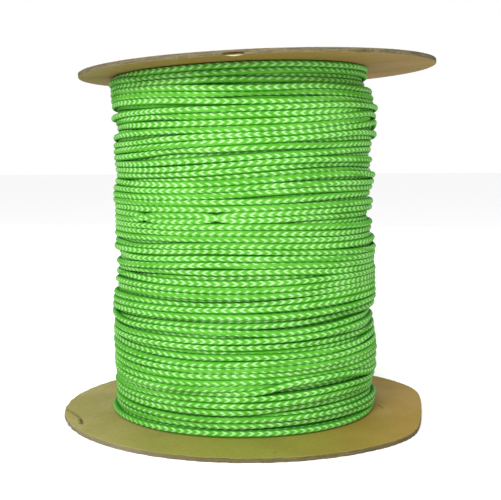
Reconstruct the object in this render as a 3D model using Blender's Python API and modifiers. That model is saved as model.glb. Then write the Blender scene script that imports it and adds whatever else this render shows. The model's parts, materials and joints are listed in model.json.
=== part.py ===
"""Spool of braided line: two chipboard discs stapled to the plugged ends of a paper core, wound full.

The origin is the centre of the lower disc's underside, and +Z runs up the core's axis. Units are metres.
"""
import math

import bmesh
import bpy
from mathutils import Matrix, Vector

# Driving dimensions
OBJECT = "fishing_line_spool"
BOARD = 0.0024  # thickness of both discs
INNER_GAP = 0.1797  # between the discs, on the axis
BOTTOM_RADIUS = 0.1016  # 8 in across
TOP_RADIUS = 0.095  # 7.5 in across
CORE_RADIUS = 0.0205  # outside of the paper core
CORE_WALL = 0.003
ARBOR_RADIUS = 0.008  # the rod hole through the plugs
PLUG_LENGTH = 0.025
LEAN = math.radians(2.06)  # the core's top end is cut out of square, so the top disc's +X side is up
TOP_SHIFT = Vector((0.0039, 0.0008))  # the top disc sits off the axis
GAP = 0.0003  # left between pieces that touch

# Crushed edges: direction, distance from the disc's centre, and how softly it runs into the round edge
BOTTOM_FLAT = (math.radians(-10), 0.0935, 0.004)
TOP_FLAT = (0.0, 0.0946, 0.0001)

# The line's outer surface, from the bottom disc up: share of the height, radius
LINE_OUTLINE = [(0, 0.0712), (0.06, 0.0724), (0.2, 0.0730), (0.4, 0.0724), (0.58, 0.0706),
                (0.8, 0.0714), (0.93, 0.0708), (1, 0.0695)]

# Staples of flat wire, driven by hand: angle about the axis and twist from the tangent, in degrees
STAPLE_WIDTH = 0.011
STAPLE_LEG = 0.014
STAPLE_WIRE = 0.0006  # thickness
STAPLE_WIRE_WIDTH = 0.0013
STAPLE_SUNK = 0.0002  # below the board's face
STAPLE_RING = 0.0127  # distance from the axis
BOTTOM_STAPLES = [(38, 4), (131, -6), (219, 3), (312, -2)]
TOP_STAPLES = [(48, -5), (140, 2), (228, 6), (321, -3)]

DISC_SEGMENTS = 128
ROUND_SEGMENTS = 64


def new_collection(name):
    collection = bpy.data.collections.new(name)
    bpy.context.scene.collection.children.link(collection)
    return collection


def new_material(name, colour, roughness, metallic=0.0):
    material = bpy.data.materials.new(name)
    material.use_nodes = True
    shader = material.node_tree.nodes["Principled BSDF"]
    shader.inputs["Base Color"].default_value = (*colour, 1)
    shader.inputs["Roughness"].default_value = roughness
    shader.inputs["Metallic"].default_value = metallic
    return material


def new_object(name, mesh, collection, material=None):
    item = bpy.data.objects.new(name, mesh)
    collection.objects.link(item)
    if material:
        mesh.materials.append(material)
        mesh.shade_smooth()
        mesh.set_sharp_from_angle(angle=math.radians(35))
    return item


def new_cutter(name, mesh):
    cutter = new_object(name, mesh, cutters)
    cutter.hide_render = True
    cutter.display_type = "WIRE"
    return cutter


def cut(item, cutter):
    modifier = item.modifiers.new(f"cut_{cutter.name}", "BOOLEAN")
    modifier.object = cutter
    modifier.operation = "DIFFERENCE"
    modifier.solver = "EXACT"


def turned(name, profile, material, segments=ROUND_SEGMENTS):
    """A ring turned about Z from a closed profile of (radius, height), its outer side run downwards."""
    mesh = bpy.data.meshes.new(name)
    work = bmesh.new()
    points = [work.verts.new((radius, 0, height)) for radius, height in profile]
    for start, end in zip(points, points[1:] + points[:1]):
        work.edges.new((start, end))
    work.to_mesh(mesh)
    work.free()
    item = new_object(name, mesh, parts, material)
    screw = item.modifiers.new("turn", "SCREW")
    screw.steps = segments
    screw.render_steps = segments
    screw.use_merge_vertices = True
    screw.merge_threshold = 0.00001
    screw.use_smooth_shade = True
    return item


def cylinder(radius, low, high, segments):
    mesh = bpy.data.meshes.new("cylinder")
    work = bmesh.new()
    bmesh.ops.create_cone(work, cap_ends=True, segments=segments, radius1=radius, radius2=radius,
                          depth=high - low, matrix=Matrix.Translation((0, 0, (low + high) / 2)))
    work.to_mesh(mesh)
    work.free()
    return mesh


def soft_min(first, second, softness):
    """The smaller of two lengths, with the change from one to the other rounded off."""
    return min(first, second) - softness * math.log1p(math.exp(-abs(first - second) / softness))


def edge_radius(angle, radius, flat):
    """Distance from a disc's centre to its edge: round, but straight on its crushed side."""
    direction, distance, softness = flat
    facing = math.cos(angle - direction)
    if facing < 0.3:  # far from the crushed side
        return radius
    return soft_min(radius, distance / facing, softness)


def disc(name, radius, flat, material):
    """A chipboard disc with its inner face at z = 0 and its outer face at z = BOARD."""
    mesh = bpy.data.meshes.new(name)
    work = bmesh.new()
    bmesh.ops.create_circle(work, cap_ends=True, segments=DISC_SEGMENTS, radius=radius)
    for point in work.verts:
        angle = math.atan2(point.co.y, point.co.x)
        point.co *= edge_radius(angle, radius, flat) / radius
    face = list(work.faces)[0]
    if face.normal.z > 0:
        face.normal_flip()
    top = bmesh.ops.extrude_face_region(work, geom=[face])["geom"]
    lifted = [part for part in top if isinstance(part, bmesh.types.BMVert)]
    bmesh.ops.translate(work, verts=lifted, vec=(0, 0, BOARD))
    bmesh.ops.recalc_face_normals(work, faces=work.faces)
    work.to_mesh(mesh)
    work.free()
    item = new_object(name, mesh, parts, material)
    bevel = item.modifiers.new("soft_rim", "BEVEL")
    bevel.width = 0.0004
    bevel.segments = 2
    bevel.limit_method = "ANGLE"
    return item


def staple_outline(clearance, proud):
    """Points round a staple on edge: the crown's outside at y = 0, the legs down to chisel points."""
    half = STAPLE_WIDTH / 2 + clearance
    wire = STAPLE_WIRE + 2 * clearance
    bend = 3 * STAPLE_WIRE
    under = clearance - wire
    tip = -STAPLE_LEG - clearance
    if proud:
        right = [(half - wire, under), (half - wire, tip), (half, tip), (half, proud)]
    else:
        right = [(half - wire, under), (half - wire, tip), (half, tip + 2 * wire)]
        for step in range(4):
            turn = math.radians(90) * step / 3
            right += [(half - bend + bend * math.cos(turn), bend * (math.sin(turn) - 1))]
    return right + [(-x, y) for x, y in reversed(right)]


def staple_mesh(clearance=0.0, proud=0.0):
    """A staple's solid, or the slot for it, which is wider by a clearance and open above the board."""
    curve = bpy.data.curves.new("staple_outline", "CURVE")
    curve.dimensions = "2D"
    curve.fill_mode = "BOTH"
    curve.extrude = STAPLE_WIRE_WIDTH / 2 + clearance
    spline = curve.splines.new("POLY")
    outline = staple_outline(clearance, proud)
    spline.points.add(len(outline) - 1)
    for point, (x, y) in zip(spline.points, outline):
        point.co = (x, y, 0, 1)
    spline.use_cyclic_u = True
    drawn = bpy.data.objects.new("staple_outline", curve)
    cutters.objects.link(drawn)
    seen = drawn.evaluated_get(bpy.context.evaluated_depsgraph_get())
    mesh = bpy.data.meshes.new_from_object(seen)
    bpy.data.objects.remove(drawn)
    work = bmesh.new()
    work.from_mesh(mesh)
    bmesh.ops.remove_doubles(work, verts=work.verts, dist=0.00001)
    bmesh.ops.recalc_face_normals(work, faces=work.faces)
    work.to_mesh(mesh)
    work.free()
    return mesh


def staple_place(angle, twist):
    """Where a staple goes on a seat: on the ring, across the radius, legs into the board."""
    turn = Matrix.Rotation(math.radians(angle), 4, "Z")
    out = Matrix.Translation((STAPLE_RING, 0, BOARD - STAPLE_SUNK))
    across = Matrix.Rotation(math.radians(90 + twist), 4, "Z")
    upright = Matrix.Rotation(math.radians(90), 4, "X")
    return turn @ out @ across @ upright


def add_staples(side, seat, places, held):
    """Staples on one disc, and their slots in the disc and its plug."""
    for number, (angle, twist) in enumerate(places, 1):
        place = staple_place(angle, twist)
        staple = new_object(f"{side}_staple_{number}", staple_mesh(), parts, steel)
        slot = new_cutter(f"{side}_slot_{number}", staple_mesh(GAP, 0.002))
        for item in (staple, slot):
            item.parent = seat
            item.matrix_local = place
        for item in held:
            cut(item, slot)


def new_seat(name, place):
    """An empty on a disc's inner face, with its +Z out through the disc."""
    seat = bpy.data.objects.new(name, None)
    seat.matrix_world = place
    parts.objects.link(seat)
    return seat


def plug(name, low, high):
    """A wooden plug with its arbor hole and chamfered ends."""
    outer = CORE_RADIUS - CORE_WALL - GAP
    chamfer = 0.001
    profile = [(ARBOR_RADIUS, low), (ARBOR_RADIUS, high), (outer - chamfer, high), (outer, high - chamfer),
               (outer, low + chamfer), (outer - chamfer, low)]
    return turned(name, profile, pine, 48)


def slanted_end(seat):
    """A block that trims the core, the top plug and the line a gap below the leaning disc."""
    mesh = bpy.data.meshes.new("slanted_end")
    work = bmesh.new()
    bmesh.ops.create_cube(work, size=0.3, matrix=Matrix.Translation((0, 0, 0.15 - GAP)))
    work.to_mesh(mesh)
    work.free()
    block = new_cutter("slanted_end", mesh)
    block.parent = seat
    return block


for old in list(bpy.data.objects):
    bpy.data.objects.remove(old)

parts = new_collection(OBJECT)
cutters = new_collection(f"{OBJECT}_cutters")
chipboard = new_material("chipboard", (0.33, 0.27, 0.10), 0.9)
kraft = new_material("kraft_paper", (0.42, 0.29, 0.16), 0.85)
pine = new_material("pine", (0.62, 0.42, 0.22), 0.6)
steel = new_material("staple_steel", (0.56, 0.55, 0.53), 0.35, 1.0)
braid = new_material("braided_line", (0.13, 0.52, 0.06), 0.55)

core_low = BOARD + GAP
core_high = BOARD + INNER_GAP
overshoot = 0.01  # how far the core and the line run up before the slanted cut

bottom_seat = new_seat("bottom_seat", Matrix.Translation((0, 0, BOARD)) @ Matrix.Rotation(math.pi, 4, "X"))
top_seat = new_seat("top_seat", Matrix.Translation((0, 0, core_high)) @ Matrix.Rotation(-LEAN, 4, "Y"))

# The bottom disc hangs upside down on its seat, so its crushed side is mirrored to face +X again
bottom_flange = disc("bottom_flange", BOTTOM_RADIUS, (-BOTTOM_FLAT[0], *BOTTOM_FLAT[1:]), chipboard)
bottom_flange.parent = bottom_seat
top_flange = disc("top_flange", TOP_RADIUS, TOP_FLAT, chipboard)
top_flange.parent = top_seat
top_flange.location = (*TOP_SHIFT, 0)

inner = CORE_RADIUS - CORE_WALL
core_top = core_high + overshoot
core_tube = turned("core_tube", [(inner, core_low), (inner, core_top), (CORE_RADIUS, core_top),
                                 (CORE_RADIUS, core_low)], kraft)

line_bore = CORE_RADIUS + GAP
line_height = INNER_GAP - GAP
outside = [(radius, core_low + share * line_height) for share, radius in LINE_OUTLINE]
outside += [(LINE_OUTLINE[-1][1], core_top)]
wound_line = turned("wound_line", [(line_bore, core_low), (line_bore, core_top)] + outside[::-1], braid)

bottom_plug = plug("bottom_plug", core_low, core_low + PLUG_LENGTH)
top_plug = plug("top_plug", core_high - PLUG_LENGTH, core_top)

end_block = slanted_end(top_seat)
for trimmed in (core_tube, wound_line, top_plug):
    cut(trimmed, end_block)

arbor = new_cutter("arbor", cylinder(ARBOR_RADIUS + GAP, -0.01, core_top + 0.01, 48))
cut(bottom_flange, arbor)
cut(top_flange, arbor)

add_staples("bottom", bottom_seat, BOTTOM_STAPLES, (bottom_flange, bottom_plug))
add_staples("top", top_seat, TOP_STAPLES, (top_flange, top_plug))
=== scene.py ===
import json
import math
import random
import bmesh
import bpy
import numpy as np
from mathutils import Matrix, Vector, noise


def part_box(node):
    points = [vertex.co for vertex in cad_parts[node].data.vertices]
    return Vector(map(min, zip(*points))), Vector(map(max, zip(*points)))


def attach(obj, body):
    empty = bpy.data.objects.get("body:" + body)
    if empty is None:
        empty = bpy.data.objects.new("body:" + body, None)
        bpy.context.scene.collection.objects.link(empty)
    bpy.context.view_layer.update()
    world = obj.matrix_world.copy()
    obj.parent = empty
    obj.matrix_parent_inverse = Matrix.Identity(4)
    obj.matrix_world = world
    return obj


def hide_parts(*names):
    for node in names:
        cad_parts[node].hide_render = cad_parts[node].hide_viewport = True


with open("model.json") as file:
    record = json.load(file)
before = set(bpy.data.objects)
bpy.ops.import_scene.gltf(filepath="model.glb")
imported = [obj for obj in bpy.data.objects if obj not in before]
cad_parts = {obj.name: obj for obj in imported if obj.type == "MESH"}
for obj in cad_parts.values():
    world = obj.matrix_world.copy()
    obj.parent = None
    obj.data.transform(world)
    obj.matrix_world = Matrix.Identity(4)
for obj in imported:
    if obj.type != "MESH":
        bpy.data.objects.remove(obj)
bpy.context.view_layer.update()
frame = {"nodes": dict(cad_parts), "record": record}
nodes = frame["nodes"]
mounts = {m["name"]: m for m in frame["record"]["mounts"]}
mm = 0.001
fullTurn = 2 * math.pi


class Field:  # a value or colour that changes over a surface
    def __init__(self, finish, socket):
        self.finish = finish
        self.socket = socket

    def math(self, operation, *values):
        return self.finish.node("ShaderNodeMath", {"operation": operation}, dict(enumerate(values)))

    def __add__(self, other):
        return self.math("ADD", self, other)

    def __radd__(self, other):
        return self.math("ADD", other, self)

    def __sub__(self, other):
        return self.math("SUBTRACT", self, other)

    def __rsub__(self, other):
        return self.math("SUBTRACT", other, self)

    def __mul__(self, other):
        return self.math("MULTIPLY", self, other)

    def __rmul__(self, other):
        return self.math("MULTIPLY", other, self)

    def __truediv__(self, other):
        return self.math("DIVIDE", self, other)

    def __pow__(self, other):
        return self.math("POWER", self, other)

    def __mod__(self, other):
        return self.math("FLOORED_MODULO", self, other)

    def __abs__(self):
        return self.math("ABSOLUTE", self)


class Finish:  # one material and its nodes
    def __init__(self, name, **fixed):
        self.material = bpy.data.materials.new(name)
        self.material.use_nodes = True
        self.tree = self.material.node_tree
        self.shader = self.tree.nodes["Principled BSDF"]
        for socket, value in fixed.items():
            self.shader.inputs[socket.replace("_", " ")].default_value = value

    def node(self, kind, settings, values, output=0):
        made = self.tree.nodes.new(kind)
        for setting, value in settings.items():
            setattr(made, setting, value)
        for socket, value in values.items():
            if isinstance(value, Field):
                self.tree.links.new(value.socket, made.inputs[socket])
            else:
                made.inputs[socket].default_value = value
        return Field(self, made.outputs[output])

    def place(self, stretch=(1, 1, 1), turn=(0, 0, 0)):
        where = self.node("ShaderNodeTexCoord", {}, {}, "Object")
        return self.node("ShaderNodeMapping", {}, {"Vector": where, "Rotation": turn, "Scale": stretch})

    def split(self, where, axes):
        return [self.node("ShaderNodeSeparateXYZ", {}, {"Vector": where}, axis) for axis in axes]

    def joined(self, x, y, z):
        return self.node("ShaderNodeCombineXYZ", {}, {0: x, 1: y, 2: z})

    def noise(self, where, scale, detail=3.0, rough=0.55, twist=0.0):
        values = {"Vector": where, "Scale": scale, "Detail": detail, "Roughness": rough, "Distortion": twist}
        return self.node("ShaderNodeTexNoise", {}, values)

    def normal(self):
        return self.node("ShaderNodeNewGeometry", {}, {}, "Normal")

    def along(self, where, axis):  # how far a place or a direction goes along an axis
        return self.node("ShaderNodeVectorMath", {"operation": "DOT_PRODUCT"}, {0: where, 1: axis}, "Value")

    def band(self, value, low, high, start=0.0, end=1.0):  # a smooth step between two values
        settings = {"interpolation_type": "SMOOTHSTEP"}
        return self.node("ShaderNodeMapRange", settings, {0: value, 1: low, 2: high, 3: start, 4: end})

    def blend(self, factor, first, second):
        first, second = (c if isinstance(c, Field) else (*c, 1) for c in (first, second))
        return self.node("ShaderNodeMix", {"data_type": "RGBA"}, {0: factor, 6: first, 7: second}, 2)

    def feed(self, socket, value):
        self.tree.links.new(value.socket, self.shader.inputs[socket])

    def bump(self, height, strength, distance):
        values = {"Height": height, "Strength": strength, "Distance": distance}
        self.feed("Normal", self.node("ShaderNodeBump", {}, values))


def shade(colour, amount):
    return tuple(amount * c for c in colour)


view = {
    "place": (0, -0.523, 0.1341),
    "downTilt": 5.13,
    "roll": -0.26,
    "lens": 69.13,
    "sensor": 36,
}
light = {
    "world": 1.0,
    "aim": (0, 0, 0.09),
    "lamps": {
        "key": {"place": (-0.34, -1.05, 0.60), "size": 0.5, "power": 19.0},
        "fill": {"place": (0.70, -0.95, 0.30), "size": 0.8, "power": 3.0},
        "back": {"place": (0.25, 1.3, 0.55), "size": 0.8, "power": 6.0},
    },
}
floorPaper = {"reach": 12, "colour": (0.93, 0.93, 0.93, 1), "roughness": 0.9}


def addObject(name, data):
    made = bpy.data.objects.new(name, data)
    bpy.context.scene.collection.objects.link(made)
    return made


def addCamera():
    data = bpy.data.cameras.new("camera")
    data.lens = view["lens"]
    data.sensor_width = view["sensor"]
    camera = addObject("camera", data)
    tilt = Matrix.Rotation(math.radians(90 - view["downTilt"]), 4, "X")
    level = Matrix.Rotation(math.radians(view["roll"]), 4, "Z")
    camera.matrix_world = Matrix.Translation(view["place"]) @ tilt @ level
    bpy.context.scene.camera = camera


def addLamp(name, place, size, power):
    data = bpy.data.lights.new(name, "AREA")
    data.size = size
    data.energy = power
    lamp = addObject(name, data)
    lamp.location = place
    aim = Vector(light["aim"]) - Vector(place)
    lamp.rotation_euler = aim.to_track_quat("-Z", "Y").to_euler()


def addStudio():
    world = bpy.data.worlds.new("studio")
    world.use_nodes = True
    background = world.node_tree.nodes["Background"]
    background.inputs["Color"].default_value = (1, 1, 1, 1)
    background.inputs["Strength"].default_value = light["world"]
    bpy.context.scene.world = world
    bpy.context.scene.view_settings.view_transform = "Standard"
    for name, lamp in light["lamps"].items():
        addLamp(name, **lamp)
    mesh = bpy.data.meshes.new("floor")
    work = bmesh.new()
    bmesh.ops.create_grid(work, x_segments=1, y_segments=1, size=floorPaper["reach"])
    work.to_mesh(mesh)
    work.free()
    paper = Finish("floorPaper", Base_Color=floorPaper["colour"], Roughness=floorPaper["roughness"])
    mesh.materials.append(paper.material)
    addObject("floor", mesh)


def addPiece(name, mesh, node, sharp=None):  # sharp: degrees from which an edge isn't smoothed
    mesh.shade_smooth()
    if sharp:
        mesh.set_sharp_from_angle(angle=math.radians(sharp))
    piece = addObject(name, mesh)
    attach(piece, "root")
    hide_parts(node)


def arrayMesh(name, points, corners, sizes):  # corners of all faces in a row, and each face's count
    points = np.asarray(points, np.float32).reshape(-1, 3)
    mesh = bpy.data.meshes.new(name)
    mesh.vertices.add(len(points))
    mesh.vertices.foreach_set("co", points.reshape(-1))
    mesh.loops.add(len(corners))
    mesh.loops.foreach_set("vertex_index", corners.astype(np.int32))
    mesh.polygons.add(len(sizes))
    mesh.polygons.foreach_set("loop_start", (np.cumsum(sizes) - sizes).astype(np.int32))
    return mesh


# sizes taken from the frame
bottomLow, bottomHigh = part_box("bottom_flange")
board = bottomHigh.z - bottomLow.z
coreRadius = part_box("core_tube")[1].y
topAxis = Vector(mounts["top_face"]["axis"])
topFace = Vector(mounts["top_face"]["pos_m"])


def underTop(x, y):  # height of the top disc's inner face
    drop = topAxis.x * (x - topFace.x) + topAxis.y * (y - topFace.y)
    return topFace.z - drop / topAxis.z - board / topAxis.z


# the winding: three loose layers settle onto a firm inner roll
line = {
    "diameter": 3.45 * mm,
    "turns": [52, 52, 54],  # in each layer, from the inside out
    "bins": 120,  # points in each turn
    "level": 0.82,  # of each turn lies level, and it steps up at the back
    "edge": 0.06 * mm,  # clear of the discs
    "reach": 0.07,  # the leaning disc's height is read this far out
    "layerStep": 0.87,  # from one layer to the next, in diameters
    "start": 2.3,  # layer steps that the innermost loose layer starts below the outside
    "unevenness": 0.35 * mm,  # in and out, before it settles
    "seed": 7,
}
roll = {
    # outside radius in millimetres by share of the height
    "outline": [(0, 71.0), (0.05, 71.6), (0.2, 71.7), (0.4, 71.2), (0.58, 69.8),
                (0.8, 70.6), (0.93, 70.9), (1, 70.6)],
    "offCentre": -3.2 * mm,  # it has built up more on one side
    "taper": {"from": 0.9, "over": 0.1, "deep": 5.2 * mm},  # it falls in at the top on the other side
    # lumps: waves round, waves up, millimetres
    "lumps": [(1, 3.2, 0.55), (2, 6.3, 0.45), (3, -9.1, 0.35), (1, 13.7, 0.35)],
    "around": 96,
    "rowsPerTurn": 4,
    "sunk": 3.45,  # diameters below the outside
    "short": 2.5 * mm,  # below the leaning disc
    "play": 0.3 * mm,  # round the core
}
lay = {
    # drift that neighbouring turns share: waves round, waves up, millimetres
    "drift": [(1, 2.4, 1.2), (2, -1.7, 0.8), (1, -4.3, 0.8), (3, 3.6, 0.5)],
    # each turn's own wander: waves a turn, millimetres
    "wander": [(0.29, 0.6), (0.73, 0.55), (1.61, 0.45), (2.83, 0.28), (4.7, 0.15)],
    "quiet": 0.5,  # share of the wander in the layers below the outer one
    # where a bundle of turns leaves the level:
    # share up, degrees round, millimetres, share tall, degrees wide
    "bundles": [(0.55, 183, 2.8, 0.07, 40), (0.10, -15, 2.4, 0.08, 45), (0.82, -25, 2.0, 0.05, 35),
                (0.36, 95, -2.4, 0.08, 40), (0.70, 60, 2.2, 0.07, 35)],
    # strays that climb over their neighbours: share up, degrees round, millimetres up, degrees wide
    "strays": [(0.79, -24, 4.2, 32), (0.5, -150, -4.4, 30), (0.62, 80, 2.8, 34), (0.33, -40, 3.2, 36),
               (0.2, -120, -3.4, 36), (0.12, -60, 3.0, 34), (0.88, -140, 2.8, 34), (0.44, 60, 4.0, 36),
               (0.7, 110, -4.0, 34), (0.27, 160, 3.6, 36), (0.56, 20, -3.4, 34)],
    "climb": 2.0 * mm,  # how far out a stray rides
    "ends": 14,  # the moves fade within one part in this many of the height, next to the discs
}
settle = {
    "rounds": 150,
    "calm": 25,  # last rounds, with a slack line
    "slack": 0.3,
    "tension": 0.10 * mm,  # drawn in by this much a round
    "base": 0.7,
    "proud": 0.8 * mm,  # a turn that stands out this far is drawn in harder
    "hold": 0.04,  # of the way back to its planned height, each round
    "straighten": 0.3,
    "contact": 0.93,  # of the diameter: soft line sinks a little into its neighbours
    "push": 0.55,
}


def waves(parts, angle, share, rng):
    phases = [rng.uniform(0, fullTurn) for part in parts]
    return mm * sum(size * np.sin(around * angle + fullTurn * up * share + phase)
                    for (around, up, size), phase in zip(parts, phases))


def rollOutside(angle, share, lumps=0):
    shares, radii = zip(*roll["outline"])
    radius = np.interp(share, shares, radii) * mm
    part = roll["taper"]
    taper = np.clip((share - part["from"]) / part["over"], 0, 1) * np.clip(np.cos(angle), 0, 1)
    return radius + roll["offCentre"] * np.cos(angle) - part["deep"] * taper + lumps


def strayed(move, lift, s, turns):  # moves up and out along a layer, with its strays added
    bins = line["bins"]
    for share, degrees, shift, wide in lay["strays"]:
        off = s - (round(share * turns) * bins + ((degrees - 90) % 360) / 360 * bins)
        bell = np.exp(-(off * 360 / bins / wide) ** 2)
        move = move + shift * mm * bell
        lift = lift + lay["climb"] * bell
    return move, lift


def plannedLayer(layer, theta, low, high, rng, driftSeed):  # heights and radii before the line settles
    bins, turns = line["bins"], line["turns"][layer]
    outer = layer == len(line["turns"]) - 1
    s = np.arange(turns * bins)
    step = np.clip((s / bins % 1 - line["level"]) / (1 - line["level"]), 0, 1)
    share = np.clip((s // bins + step * step * (3 - 2 * step)) / (turns - 1), 0, 1)
    if layer % 2:  # every other layer is wound downwards
        share = 1 - share
    angle = theta[s % bins]
    phases = [rng.uniform(0, fullTurn) for part in lay["wander"]]
    move = mm * sum(size * np.sin(fullTurn * rate * s / bins + phase)
                    for (rate, size), phase in zip(lay["wander"], phases))
    move = move * (1.0 if outer else lay["quiet"])
    lift = line["unevenness"] * np.sin(fullTurn * 0.37 * s / bins + rng.uniform(0, 6))
    move = move + waves(lay["drift"], angle, share, random.Random(driftSeed))
    for up, degrees, shift, tall, wide in lay["bundles"]:
        away = (np.degrees(angle) - degrees + 180) % 360 - 180
        move = move + shift * mm * np.exp(-((share - up) / tall) ** 2 - (away / wide) ** 2)
    if outer:
        move, lift = strayed(move, lift, s, turns)
    ease = np.clip(np.minimum(share, 1 - share) * lay["ends"], 0, 1)
    height = low + share * (high[s % bins] - low) + ease * move
    depth = (line["start"] - layer) * (line["layerStep"] * line["diameter"])
    return height.reshape(-1, bins), (rollOutside(angle, share) - depth + lift).reshape(-1, bins)


def nearPairs(z, r, near):  # turns that could touch each other
    dz = np.abs(z[:, None, ::6] - z[None, :, ::6])
    dr = np.abs(r[:, None, ::6] - r[None, :, ::6])
    close = ((dz < 3.2 * near) & (dr < 2.6 * near)).any(2)
    return np.nonzero(np.triu(close, 1))


def straightened(rows, strength):  # eases the bends out of one layer's line
    flat = rows.reshape(-1)
    before = [2 * flat[0] - flat[2], 2 * flat[0] - flat[1]]
    after = [2 * flat[-1] - flat[-2], 2 * flat[-1] - flat[-3]]
    p = np.concatenate([before, flat, after])
    soft = (p[:-4] + 2 * p[1:-3] + 2 * p[2:-2] + 2 * p[3:-1] + p[4:]) / 8
    return (flat + strength * (soft - flat)).reshape(rows.shape)


def layLine():  # each layer's heights and radii, turn after turn, once it has settled
    rng = random.Random(line["seed"])
    d = line["diameter"]
    near, layerStep = settle["contact"] * d, line["layerStep"] * d
    theta = math.pi / 2 + fullTurn * np.arange(line["bins"]) / line["bins"]
    low = board + line["edge"] + d / 2
    reach = line["reach"]
    high = np.array([underTop(reach * math.cos(t), reach * math.sin(t)) for t in theta])
    high = high - line["edge"] - d / 2
    driftSeed, lumpSeed = rng.random(), rng.random()
    count = len(line["turns"])
    plans = [plannedLayer(layer, theta, low, high, rng, driftSeed) for layer in range(count)]
    z, r = (np.concatenate(part) for part in zip(*plans))
    planned = z.copy()
    starts = np.cumsum([0] + line["turns"])
    first, second = nearPairs(z, r, near)
    signs = np.zeros((len(z), len(first)), np.float32)  # which way each touching pair pushes its turns
    signs[first, np.arange(len(first))] = -1
    signs[second, np.arange(len(first))] = 1
    for number in range(settle["rounds"]):
        calm = number > settle["rounds"] - settle["calm"]
        outside = rollOutside(theta[None, :], (z - low) / (high - low)) - d / 2
        proud = np.clip((r - outside) / settle["proud"], 0, 3)
        r -= (settle["slack"] if calm else 1) * settle["tension"] * (settle["base"] + proud)
        z += settle["hold"] * (planned - z)
        for start, end in zip(starts, starts[1:]):
            z[start:end] = straightened(z[start:end], settle["straighten"])
            r[start:end] = straightened(r[start:end], settle["straighten"])
        dz, dr = z[second] - z[first], r[second] - r[first]
        far = np.sqrt(dz * dz + dr * dr) + 1e-9
        push = np.where(far < near, 0.5 * (near - far) / far, 0)
        z += settle["push"] * (signs @ (push * dz).astype(np.float32))
        r += settle["push"] * (signs @ (push * dr).astype(np.float32))
        share = (z - low) / (high - low)
        lumps = waves(roll["lumps"], theta[None, :], share, random.Random(lumpSeed))
        r = np.maximum(r, rollOutside(theta[None, :], share, lumps) - 2 * layerStep - d / 2)
        z = np.clip(z, low, high)
    layers = [(z[a:b].reshape(-1), r[a:b].reshape(-1)) for a, b in zip(starts, starts[1:])]
    for number, (heights, radii) in enumerate(layers):
        spread = [round(float(q) / mm, 1) for q in np.percentile(radii, [0, 50, 100])]
        print("layer", number, "settled at radius", spread)
    return layers


# the braid: eight columns of slanting stitches, drawn by rings that zigzag with them
braid = {
    "columns": 8,
    "stitch": 1.43 * mm,  # along the line, from one stitch to the next
    "lean": 2.0 * mm,  # how far a stitch runs along the line as it crosses its column
    "groove": 0.13 * mm,  # between the stitches of a column
    "dip": 0.07 * mm,  # where two columns meet
    "tracer": 3,  # every third stitch is the pale strand
    "paleShare": 0.42,  # of the length, as the pale strand is fatter than the green ones
    "paleColumns": (0, 7, 4, 5, 2),  # the columns where the pale strands lie on top
    "swing": 1.18,  # radians either way, as the line rolls over now and then
    "rolls": [(0.83, 0.0), (1.31, 1.7)],  # waves a metre, phase
    "twist": [(0.71, 0.22), (2.3, 0.38), (4.1, 0.34), (9.7, 0.18)],  # waves a metre, radians
    "uvScale": 100,  # of the length, so that it stays precise
    # sides of the tube, rings in a stitch and pieces that the layer is cut into, from the inside out
    "layers": {"deep_turns": (8, 1, 2), "under_turns": (8, 2, 4), "outer_turns": (16, 3, 10)},
}


def cubic(x, y, fine):  # a smooth curve through evenly spaced values
    step = x[1] - x[0]
    at = np.clip((fine - x[0]) / step, 0, len(x) - 1.000001)
    i = at.astype(int)
    t = at - i
    p = np.concatenate([[2 * y[0] - y[1]], y, [2 * y[-1] - y[-2]]])
    a, b, c, d = p[i], p[i + 1], p[i + 2], p[i + 3]
    return b + 0.5 * t * (c - a + t * (2 * a - 5 * b + 4 * c - d + t * (3 * (b - c) + d - a)))


def smoothPath(heights, radii, spacing):  # rings' places, and length, angle, radius and height
    angles = math.pi / 2 + fullTurn * np.arange(len(heights)) / line["bins"]
    kernel = np.array([1, 2, 3, 2, 1]) / 9
    padded = [np.concatenate([[v[0]] * 2, v, [v[-1]] * 2]) for v in (heights, radii)]
    z, r = (np.convolve(v, kernel, "valid") for v in padded)
    fine = np.linspace(angles[0], angles[-1], 4 * len(angles))
    z, r = (cubic(angles, v, fine) for v in (z, r))
    steps = np.hypot(np.diff(z), np.diff(fine) * (r[1:] + r[:-1]) / 2)
    length = np.concatenate([[0], np.cumsum(steps)])
    return np.arange(int(length[-1] / spacing)) * spacing, length, fine, r, z


def stretched(along):
    period = braid["tracer"] * braid["stitch"]
    whole, part = np.divmod(along / period, 1)
    return period * (whole + np.interp(part, [0, 1 / braid["tracer"], 1], [0, braid["paleShare"], 1]))


def lineTwist(s):
    rollOver = sum(np.sin(fullTurn * rate * s + phase) for rate, phase in braid["rolls"])
    twist = braid["swing"] * (1 + np.tanh(5 * rollOver))
    return twist + sum(size * np.sin(fullTurn * rate * s + 7 * size) for rate, size in braid["twist"])


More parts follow.
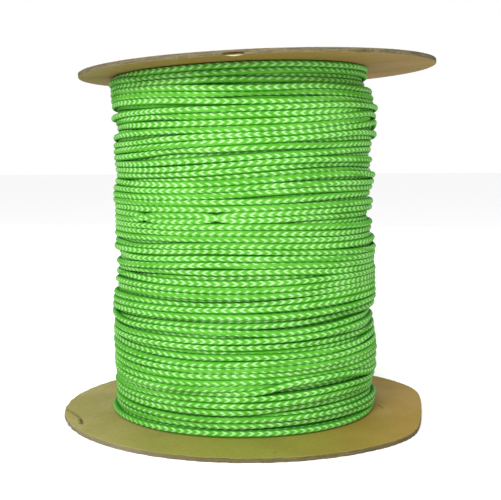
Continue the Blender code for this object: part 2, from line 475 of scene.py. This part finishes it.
def braidedLine(name, layer, finishes):
    sides, perStitch, pieces = braid["layers"][name]
    rings, length, angle, radius, height = smoothPath(*layer, braid["stitch"] / perStitch)
    phi = fullTurn * np.arange(sides) / sides
    column = np.arange(sides) / sides * braid["columns"]
    zigzag = 1 - np.abs(1 - column % 2)
    s = stretched(rings)[:, None] + braid["lean"] * zigzag[None, :]
    a, r, z = (np.interp(s, length, v) for v in (angle, radius, height))
    slope = (np.interp(s + mm, length, height) - np.interp(s - mm, length, height)) / (2 * mm)
    crest = np.where(np.arange(len(rings)) % perStitch == 0, 0.0, 1.0)[:, None]
    seam = np.abs(2 * (column % 1) - 1)[None, :]
    thick = line["diameter"] / 2 - braid["groove"] * (1 - crest) - braid["dip"] * seam ** 2
    twist = lineTwist(s)
    out, side = thick * np.cos(phi + twist), thick * np.sin(phi + twist)
    flat = 1 / np.sqrt(1 + slope ** 2)
    x = (r + out) * np.cos(a) + side * slope * flat * np.sin(a)
    y = (r + out) * np.sin(a) - side * slope * flat * np.cos(a)
    points = np.stack([x, y, z + side * flat], 2)
    period = perStitch * braid["tracer"]
    cuts = np.linspace(0, (len(rings) - 1) // period, pieces + 1).astype(int) * period
    for number, (first, last) in enumerate(zip(cuts, cuts[1:]), 1):
        tube(f"{name}_{number}", points[first:last + 1], rings[first:last + 1], perStitch, finishes)


def tube(name, points, along, perStitch, finishes):
    count, sides = points.shape[:2]
    ring = np.arange(count - 1)[:, None] * sides
    j = np.arange(sides)[None, :]
    k = (j + 1) % sides
    quads = np.stack([ring + j, ring + k, ring + sides + k, ring + sides + j], 2).reshape(-1, 4)
    caps = np.concatenate([np.arange(sides)[::-1], (count - 1) * sides + np.arange(sides)])
    sizes = np.array([4] * len(quads) + [sides, sides])
    mesh = arrayMesh(name, points, np.concatenate([quads.reshape(-1), caps]), sizes)
    u = np.repeat(along, sides).reshape(count, sides)
    corners = np.stack([u[:-1], u[:-1], u[1:], u[1:]], 2).reshape(-1)
    around = np.stack([j[0], j[0] + 1, j[0] + 1, j[0]], 1) / sides
    uv = np.zeros((len(mesh.loops), 2))
    uv[:len(corners), 0] = corners * braid["uvScale"]
    uv[:len(corners), 1] = np.broadcast_to(around, (count - 1, sides, 4)).reshape(-1)
    layer = mesh.uv_layers.new(name="braid")
    layer.data.foreach_set("uv", uv.reshape(-1).astype(np.float32))
    for finish in finishes:
        mesh.materials.append(finish.material)
    tracer = np.arange(count - 1) // perStitch % braid["tracer"] == 0
    pale = np.isin((np.arange(sides) + 0.5) * braid["columns"] // sides, braid["paleColumns"])
    strands = (tracer[:, None] & pale[None, :]).reshape(-1)
    mesh.polygons.foreach_set("material_index", np.append(strands, [0, 0]).astype(np.int32))
    mesh.update(calc_edges=True)
    mesh.validate()
    addPiece(name, mesh, "wound_line")


def ringAt(work, reach, angles, height):
    return [work.verts.new((r * math.cos(a), r * math.sin(a), height)) for r, a in zip(reach, angles)]


def innerRoll(turns, finish):  # the firm roll that the loose layers lie on
    around, rows = roll["around"], turns * roll["rowsPerTurn"]
    low, high = board + line["edge"], underTop(0, 0) - line["edge"] - roll["short"]
    angles = fullTurn * np.arange(around) / around
    work = bmesh.new()
    rings = []
    for share in np.arange(rows + 1) / rows:
        ridge = np.abs(np.sin(math.pi * (share * turns + np.arange(around) / around)))
        reach = rollOutside(angles, share) - roll["sunk"] * line["diameter"] + 0.5 * line["diameter"] * ridge
        rings.append(ringAt(work, reach, angles, low + share * (high - low)))
    bore = np.full(around, coreRadius + roll["play"])
    rings += [ringAt(work, bore, angles, height) for height in (high, low)]
    for lower, upper in zip(rings, rings[1:] + rings[:1]):
        for step in range(around):
            after = (step + 1) % around
            work.faces.new((lower[step], lower[after], upper[after], upper[step]))
    mesh = bpy.data.meshes.new("inner_roll")
    work.to_mesh(mesh)
    work.free()
    mesh.uv_layers.new(name="braid")
    mesh.materials.append(finish.material)
    addPiece("inner_roll", mesh, "wound_line", sharp=35)


# each yarn's groove colour is painted shade for the grooves between its stitches
yarns = {
    "limeYarn": {"light": (0.090, 0.325, 0.032), "deep": (0.055, 0.240, 0.015),
                 "groove": (0.003, 0.085, 0.001), "roughness": 0.5},
    "paleTracerYarn": {"light": (0.275, 0.500, 0.205), "deep": (0.190, 0.430, 0.120),
                       "groove": (0.075, 0.270, 0.036), "roughness": 0.42},
}
paintedShadeBetweenTurns = {"colour": (0.001, 0.135, 0.0005), "most": 0.8}  # painted shade on the sides that face the next turn


def yarnFinish(name):
    look = yarns[name]
    finish = Finish(name, Roughness=look["roughness"], Specular_IOR_Level=0.01)
    uv = finish.node("ShaderNodeUVMap", {"uv_map": "braid"}, {})
    along, around = finish.split(uv, "XY")
    along = along / (braid["uvScale"] * braid["stitch"])
    fibres = finish.noise(finish.joined(along * 7.0, around * 5.0, 0.0), 1.0, 2.0, 0.6)
    patches = finish.noise(finish.place(), 60.0, 2.0)
    mix = finish.band(fibres * 0.55 + patches * 0.45, 0.36, 0.62)
    edge = abs(along % 1.0 - 0.5) * 2.0
    seam = abs(around * braid["columns"] % 1.0 - 0.5) * 2.0
    # painted shade: darker towards the grooves between stitches and where two columns meet
    groove = finish.band(edge, 0.72, 1.0, 0.0, 0.6) + finish.band(seam, 0.8, 1.0, 0.0, 0.35)
    colour = finish.blend(groove, finish.blend(mix, look["deep"], look["light"]), look["groove"])
    # painted shade: deep green where the cord faces up or down, into the gaps between turns
    upDown = abs(finish.split(finish.normal(), "Z")[0])
    paintedGapShade = finish.band(upDown, 0.62, 1.0, 0.0, paintedShadeBetweenTurns["most"])
    finish.feed("Base Color", finish.blend(paintedGapShade, colour, paintedShadeBetweenTurns["colour"]))
    smooth = look["roughness"]
    finish.feed("Roughness", finish.band(fibres, 0.3, 0.7, smooth - 0.06, smooth + 0.1))
    finish.bump(fibres, 0.5, 0.00008)
    return finish


def windSpool():
    finishes = [yarnFinish(name) for name in yarns]
    layers = layLine()
    for name, layer in reversed(list(zip(braid["layers"], layers))):
        braidedLine(name, layer, finishes)
    innerRoll(line["turns"][0], finishes[0])


# the two discs
disc = {
    "around": 640,
    "round": 0.35 * mm,  # worn edge of the cut board
    "inset": 0.02 * mm,
    "plies": 5,
    "rimRough": 0.16 * mm,
    "faceRough": 0.03 * mm,
    "wire": 0.7 * mm,  # staple wire and a little air
    "dent": {"flat": 0.1 * mm, "slope": 0.35 * mm},  # round each staple
    "fineRows": (10.3, 17.4, 0.2),  # millimetres from the middle: from, to and step
    "dented": (9.5 * mm, 18 * mm),  # the staples press in between these
    "rimRows": (0.7, 1.0, 1.4, 1.8, 2.2, 2.6, 3.1, 3.6, 4.2),  # millimetres in from the edge
    # a ply that has split from the top disc's rim and hangs down: place and half width in degrees
    "lip": {"degrees": -94.2, "wide": 3.6, "peel": 0.75 * mm, "gap": 1.2 * mm, "reach": 2.2 * mm,
            # dark is painted shade for the gap under the loose ply
            "side": -7.2 * mm, "dark": (0.030, 0.023, 0.012), "pale": (0.34, 0.31, 0.20)},
    # a torn nick in the bottom disc's rim
    "nick": {"degrees": 27, "wide": 4.0, "deep": 1.8 * mm, "reach": 2.0 * mm},
    # creases and scratches on the bottom disc: start, middle, end, width and darkness
    "marks": [((-99.6, -14.0), (-90.8, -27.5), (-85.6, -49.0), 1.3, 0.5),
              ((-89.4, -33.0), (-88.0, -38.0), (-87.2, -43.5), 1.8, 0.5),
              ((69.2, -5.0), (70.3, -10.0), (71.0, -15.0), 0.7, 0.7),
              ((10.0, -93.0), (11.0, -92.6), (12.0, -93.0), 0.8, 0.8)],
    "paintedLampLitRim": (0.27, 0.25, 0.17),  # painted lamp light on the rim at the bottom disc's left
}
# the front, left and right colours hold painted light: the cord's green light reflected onto the boards and
# the lamps' light and shade
chipboards = {
    "bottomChipboard": {"front": (0.205, 0.208, 0.033), "left": (0.280, 0.238, 0.080),
                        "right": (0.250, 0.144, 0.018), "rim": (0.118, 0.094, 0.042)},
    "topChipboard": {"front": (0.215, 0.140, 0.030), "left": (0.200, 0.158, 0.038),
                     "right": (0.285, 0.182, 0.054), "rim": (0.128, 0.106, 0.058)},
}


def smoothStep(value):
    share = min(max(value, 0), 1)
    return share * share * (3 - 2 * share)


class Seat:  # one disc's own place: its inner face at z = 0, its outer face up
    def __init__(self, node, axis, staples):
        points = np.array([v.co for v in nodes[node].data.vertices])
        turn = Vector((0, 0, 1)).rotation_difference(axis).to_matrix()
        own = points @ np.array(turn)
        self.axis = axis.normalized()
        self.low, self.high = own[:, 2].min(), own[:, 2].max()
        self.thick = self.high - self.low
        middle = Vector((0, 0, (self.low + self.high) / 2 / self.axis.z))
        centre = np.array((turn.inverted() @ middle).xy)
        reach = np.hypot(own[:, 0] - centre[0], own[:, 1] - centre[1])
        self.hole = float(reach.min())
        self.matrix = turn.to_4x4() @ Matrix.Translation((centre[0], centre[1], self.low))
        rim = own[reach > 0.8 * reach.max()][:, :2] - centre
        angle = np.arctan2(rim[:, 1], rim[:, 0])
        order = np.argsort(angle)
        self.angles, self.radii = angle[order], np.hypot(rim[:, 0], rim[:, 1])[order]
        self.crowns = [self.crown(nodes[name]) for name in nodes if name.startswith(staples)]

    def crown(self, staple):  # its bar's middle, direction, half length, half width and underside
        back = self.matrix.inverted()
        own = np.array([back @ v.co for v in staple.data.vertices])
        bar = own[own[:, 2] > own[:, 2].max() - 0.3 * mm]
        middle = bar.mean(0)
        spread = bar[:, :2] - middle[:2]
        direction = np.linalg.svd(spread, full_matrices=False)[2][0]
        along, across = spread @ direction, spread @ np.array((-direction[1], direction[0]))
        under = own[:, 2].max() - disc["wire"]
        return middle[:2], direction, np.abs(along).max(), np.abs(across).max(), under

    def dent(self, x, y):  # how far the outer face is pressed in under the staples
        deep = 0.0
        for middle, (dx, dy), half, wide, under in self.crowns:
            px, py = x - middle[0], y - middle[1]
            outside = max(abs(px * dx + py * dy) - half, abs(py * dx - px * dy) - wide)
            share = smoothStep(1 - (outside - disc["dent"]["flat"]) / disc["dent"]["slope"])
            deep = max(deep, share * (self.thick - under))
        return deep

    def held(self, z):  # within the board
        return min(max(z, 0.0), self.thick)

    def edge(self, angle):
        return np.interp(angle, self.angles, self.radii, period=fullTurn)


def fuzz(x, y, z, scale):
    return noise.noise(Vector((x * scale, y * scale, z * scale)))


def discRows(seat):  # how a row is measured, its measure, its height, and whether it is on the rim
    t, soft = seat.thick, disc["round"]
    rows = [("hole", seat.hole + step * mm, t, 0) for step in (0.15, 0.4, 0.9, 1.5)]
    rows += [("hole", reach, t, 0) for reach in np.arange(*disc["fineRows"]) * mm]
    rows += [("share", share, t, 0) for share in np.linspace(0.19, 0.955, 24)]
    rows += [("edge", inset * mm, t, 0) for inset in reversed(disc["rimRows"])]
    corner = [(soft * (1 - math.cos(q)), soft * (1 - math.sin(q))) for q in np.radians((30, 60, 90))]
    rows += [("edge", inset, t - drop, 1) for inset, drop in reversed(corner)]
    rows += [("edge", 0, t - soft - share * (t - 2 * soft), 1) for share in np.linspace(0, 1, 13)]
    rows += [("edge", inset, drop, 1) for inset, drop in corner]
    rows += [("edge", inset * mm, 0, 0) for inset in disc["rimRows"]]
    rows += [("share", share, 0, 0) for share in np.linspace(0.955, 0.66, 22)]
    rows += [("hole", reach * mm, 0, 0) for reach in (50, 35, 24, 14)]
    rows += [("hole", seat.hole + 0.3 * mm, 0, 0)]
    rows += [("hole", seat.hole, share * t, 0) for share in np.linspace(0.08, 0.92, 6)]
    return rows


def roughened(r, height, angle, reach, seat, rim):  # a point drawn in by its frayed edge
    x, y = r * math.cos(angle), r * math.sin(angle)
    frayed = 0.5 + 0.5 * fuzz(x, y, 0, 160) + 0.35 * fuzz(x, y, height * 2.2, 900)
    ply = 0.5 + 0.5 * math.cos(fullTurn * disc["plies"] * height / seat.thick)
    bite = disc["rimRough"] * (abs(frayed) + (0.6 * ply if rim else 0.2))
    r -= bite * math.exp(-max(0, reach - r) / (1.5 * mm))
    return r, r * math.cos(angle), r * math.sin(angle)


def splitLip(x, y, z, across, inset, reach, seat):
    part = disc["lip"]
    if abs(across) >= part["wide"] or z >= 0.5 * seat.thick or inset >= 5 * mm:
        return x, y, seat.held(z)
    gape = math.cos(math.pi / 2 * across / part["wide"]) ** 2 * math.exp(-inset / part["reach"])
    if z < 0.3 * seat.thick:  # the loose ply hangs down
        return x, y, z - part["peel"] * gape
    back = 1 - part["gap"] * gape / reach
    return x * back, y * back, seat.held(z)


def tornNick(x, y, z, across, inset, reach, seat):
    part = disc["nick"]
    if abs(across) >= part["wide"]:
        return x, y, seat.held(z)
    torn = part["deep"] * (1 - (across / part["wide"]) ** 2) * (0.7 + 0.5 * fuzz(x, y, z, 700))
    back = 1 - torn * math.exp(-inset / part["reach"]) / reach
    return x * back, y * back, seat.held(z)


def discPoint(seat, row, angle, reach, split):
    kind, size, height, rim = row
    r = {"edge": reach - size - disc["inset"], "share": reach * size, "hole": size}[kind]
    x, y, z = r * math.cos(angle), r * math.sin(angle), height
    if kind != "hole":
        r, x, y = roughened(r, height, angle, reach, seat, rim)
    dull = disc["faceRough"] * (0.5 + 0.5 * fuzz(x, y, 3, 420) + 0.4 * fuzz(x, y, 5, 90))
    z += dull if height < seat.thick / 2 else -dull
    low, high = disc["dented"]
    if kind == "hole" and height == seat.thick and low < size < high:
        z -= seat.dent(x, y)
    inset = max(0, reach - r)
    wear, part = (splitLip, disc["lip"]) if split else (tornNick, disc["nick"])
    return wear(x, y, z, math.degrees(angle) - part["degrees"], inset, reach, seat)


def makeDisc(name, node, seat, finish, split):
    rows = discRows(seat)
    count = disc["around"]
    angles = -math.pi + fullTurn * np.arange(count) / count
    edge = seat.edge(angles)
    points = [discPoint(seat, row, angle, reach, split)
              for row in rows for angle, reach in zip(angles, edge)]
    ring = (np.arange(len(rows)) * count)[:, None]
    after = (np.roll(np.arange(len(rows)), -1) * count)[:, None]
    j, k = np.arange(count)[None, :], ((np.arange(count) + 1) % count)[None, :]
    quads = np.stack([ring + j, after + j, after + k, ring + k], 2).reshape(-1)
    mesh = arrayMesh(name, points, quads, np.full(len(quads) // 4, 4))
    mesh.update(calc_edges=True)
    mesh.validate()
    mesh.transform(seat.matrix)
    mesh.materials.append(finish.material)
    addPiece(name, mesh, node, sharp=50)


def strokes(finish, x, y, wobble, marks):  # how dark the creases and scratches are at a place
    total = 0.0
    for start, middle, end, wide, dark in marks:
        start, middle, end = (Vector(point) * mm for point in (start, middle, end))
        half = (end - start).length / 2
        across = (end - start).orthogonal().normalized()
        bow = (middle - start).dot(across)
        radius = (half * half + bow * bow) / (2 * bow)
        centre = (start + end) / 2 + across * (bow - radius)
        off = ((x - centre.x) ** 2.0 + (y - centre.y) ** 2.0) ** 0.5 - abs(radius) + wobble
        away = ((x - middle.x) ** 2.0 + (y - middle.y) ** 2.0) ** 0.5
        drawn = finish.band(abs(off), wide * mm, 0.2 * wide * mm, 0.0, dark)
        total = drawn * finish.band(away, 1.02 * half, 0.8 * half) + total
    return total


def faceColourWithPaintedLight(finish, look, x, cloud, fibre, speck):  # it changes from the front to either side: painted light, the cord's green light reflected onto the front and the lamps' light and shade to the sides
    front, left, right = look["front"], look["left"], look["right"]
    colour = finish.blend(finish.band(x + (cloud - 0.5) * 0.06, 0.0, 0.085), front, right)
    colour = finish.blend(finish.band(x + (cloud - 0.5) * 0.03, -0.088, -0.012, 1.0, 0.0), colour, left)
    colour = finish.blend(finish.band(cloud, 0.42, 0.62, 0.0, 0.22), colour, shade(front, 0.55))
    colour = finish.blend(finish.band(fibre, 0.38, 0.66, 0.0, 0.42), colour, shade(front, 0.62))
    colour = finish.blend(finish.band(speck, 0.66, 0.80, 0.0, 0.5), colour, shade(left, 1.5))
    return finish.blend(finish.band(speck, 0.30, 0.20, 0.0, 0.5), colour, shade(right, 0.3))


def rimColour(finish, rim, level, grain, fibre, speck):  # the cut edge with the lines of its plies
    colour = finish.blend(finish.band(grain, 0.36, 0.62), shade(rim, 0.45), rim)
    colour = finish.blend(finish.band(speck, 0.62, 0.75, 0.0, 0.6), colour, shade(rim, 1.8))
    plies = finish.band(abs(level * disc["plies"] % 1.0 - 0.5), 0.36, 0.5, 0.0, 0.55)
    return finish.blend(plies * finish.band(fibre, 0.3, 0.6), colour, shade(rim, 0.3))


def lipColour(finish, colour, x, y, level):  # pale torn fibres under the gap, and painted shade in the gap itself
    lip = disc["lip"]
    lens = finish.band(abs(x - lip["side"]), 5.6 * mm, 4.0 * mm) * finish.band(y, -50 * mm, -80 * mm)
    # painted shade: the gap under the loose ply is coloured dark
    colour = finish.blend(lens * finish.band(abs(level - 0.26), 0.28, 0.2), colour, lip["dark"])
    return finish.blend(lens * finish.band(level, 0.06, -0.02), colour, lip["pale"])


def boardFinish(name, seat, split):
    look = chipboards[name]
    finish = Finish(name, Roughness=0.85, Specular_IOR_Level=0.12)
    where = finish.place()
    x, y = finish.split(where, "XY")
    axis = tuple(seat.axis)
    depth = finish.along(where, axis)
    level = (depth - seat.low) / seat.thick
    fibre = finish.noise(finish.place((1, 2.6, 1), (0, 0, 0.5)), 420.0, 4.0, 0.65, 0.6)
    speck = finish.noise(where, 1100.0, 2.0, 0.5)
    cloud = finish.noise(where, 26.0, 3.0, 0.5)
    grain = finish.noise(finish.joined(x * 90.0, depth * 2600.0, y * 90.0), 1.0, 4.0, 0.7)
    face = faceColourWithPaintedLight(finish, look, x, cloud, fibre, speck)
    rim = rimColour(finish, look["rim"], level, grain, fibre, speck)
    if split:
        rim = lipColour(finish, rim, x, y, level)
    else:
        creases = strokes(finish, x, y, (cloud - 0.5) * 0.003, disc["marks"])
        face = finish.blend(creases, face, shade(look["right"], 0.22))
        # painted light: the rim grows lighter towards the lamp-lit left
        rim = finish.blend(finish.band(x, -0.02, -0.07, 0.0, 0.3), rim, disc["paintedLampLitRim"])
    cut = finish.band(abs(finish.along(finish.normal(), axis)), 0.5, 0.9, 1.0, 0.0)
    finish.feed("Base Color", finish.blend(cut, face, rim))
    finish.feed("Roughness", finish.band(cloud, 0.3, 0.7, 0.76, 0.92))
    finish.bump(fibre * 0.6 + speck * 0.2 + grain * 0.2, 0.5, 0.00012)
    return finish


def cutDiscs():
    lower = Seat("bottom_flange", Vector((0, 0, -1)), "bottom_staple")
    upper = Seat("top_flange", topAxis, "top_staple")
    lowerChip = boardFinish("bottomChipboard", lower, split=False)
    upperChip = boardFinish("topChipboard", upper, split=True)
    makeDisc("bottom_board", "bottom_flange", lower, lowerChip, split=False)
    makeDisc("top_board", "top_flange", upper, upperChip, split=True)


# core, plugs and staples keep their own meshes
kraft = {"light": (0.33, 0.22, 0.12), "deep": (0.24, 0.15, 0.075), "seam": (0.08, 0.045, 0.02),
         "wrap": 0.062}  # how far up one wrap of the paper strip climbs
pine = {"early": (0.52, 0.33, 0.15), "late": (0.36, 0.19, 0.07), "pores": (0.22, 0.12, 0.05)}
staple = {"bright": (0.56, 0.55, 0.53), "dull": (0.34, 0.33, 0.31)}


def kraftFinish():
    finish = Finish("kraftPaper", Roughness=0.8)
    x, y, z = finish.split(finish.place(), "XYZ")
    wrap = (z / kraft["wrap"] + y.math("ARCTAN2", y, x) / fullTurn) % 1.0
    seam = finish.band(abs(wrap - 0.5), 0.488, 0.498)
    fibre = finish.noise(finish.place((1, 1, 0.3)), 700.0, 3.0)
    colour = finish.blend(finish.band(fibre, 0.35, 0.65), kraft["deep"], kraft["light"])
    finish.feed("Base Color", finish.blend(seam * 0.8, colour, kraft["seam"]))
    finish.bump(fibre * 0.4 - seam, 0.5, 0.00015)
    return finish


def pineFinish():
    finish = Finish("pine", Roughness=0.6)
    values = {"Vector": finish.place((1, 1, 0.04)), "Scale": 260.0, "Distortion": 3.0, "Detail": 2.0}
    rings = finish.node("ShaderNodeTexWave", {"wave_type": "RINGS", "rings_direction": "Z"}, values)
    pores = finish.noise(finish.place((1, 1, 0.1)), 1400.0, 2.0)
    colour = finish.blend(finish.band(rings, 0.25, 0.85), pine["early"], pine["late"])
    colour = finish.blend(finish.band(pores, 0.6, 0.75, 0.0, 0.4), colour, pine["pores"])
    finish.feed("Base Color", colour)
    finish.feed("Roughness", finish.band(pores, 0.3, 0.7, 0.55, 0.72))
    finish.bump(rings * 0.5 + pores * 0.5, 0.4, 0.0001)
    return finish


def stapleFinish():
    finish = Finish("stapleSteel", Metallic=1.0, Roughness=0.35)
    drawn = finish.noise(finish.place((8, 8, 1)), 500.0, 2.0)
    dull = finish.noise(finish.place(), 900.0, 3.0)
    colour = finish.blend(finish.band(dull, 0.4, 0.7), staple["bright"], staple["dull"])
    finish.feed("Base Color", colour)
    finish.feed("Roughness", finish.band(drawn * 0.5 + dull * 0.5, 0.3, 0.7, 0.25, 0.5))
    finish.bump(drawn, 0.25, 0.00004)
    return finish


def finishNodes():
    finishes = {"core": kraftFinish(), "plug": pineFinish(), "staple": stapleFinish()}
    for name, node in nodes.items():
        for word, finish in finishes.items():
            if word in name:
                for slot in node.material_slots:
                    slot.material = finish.material


addCamera()
addStudio()
print("camera and studio in place")
windSpool()
print("braided the line")
cutDiscs()
print("cut the two discs")
finishNodes()
print("finished the core, plugs and staples")
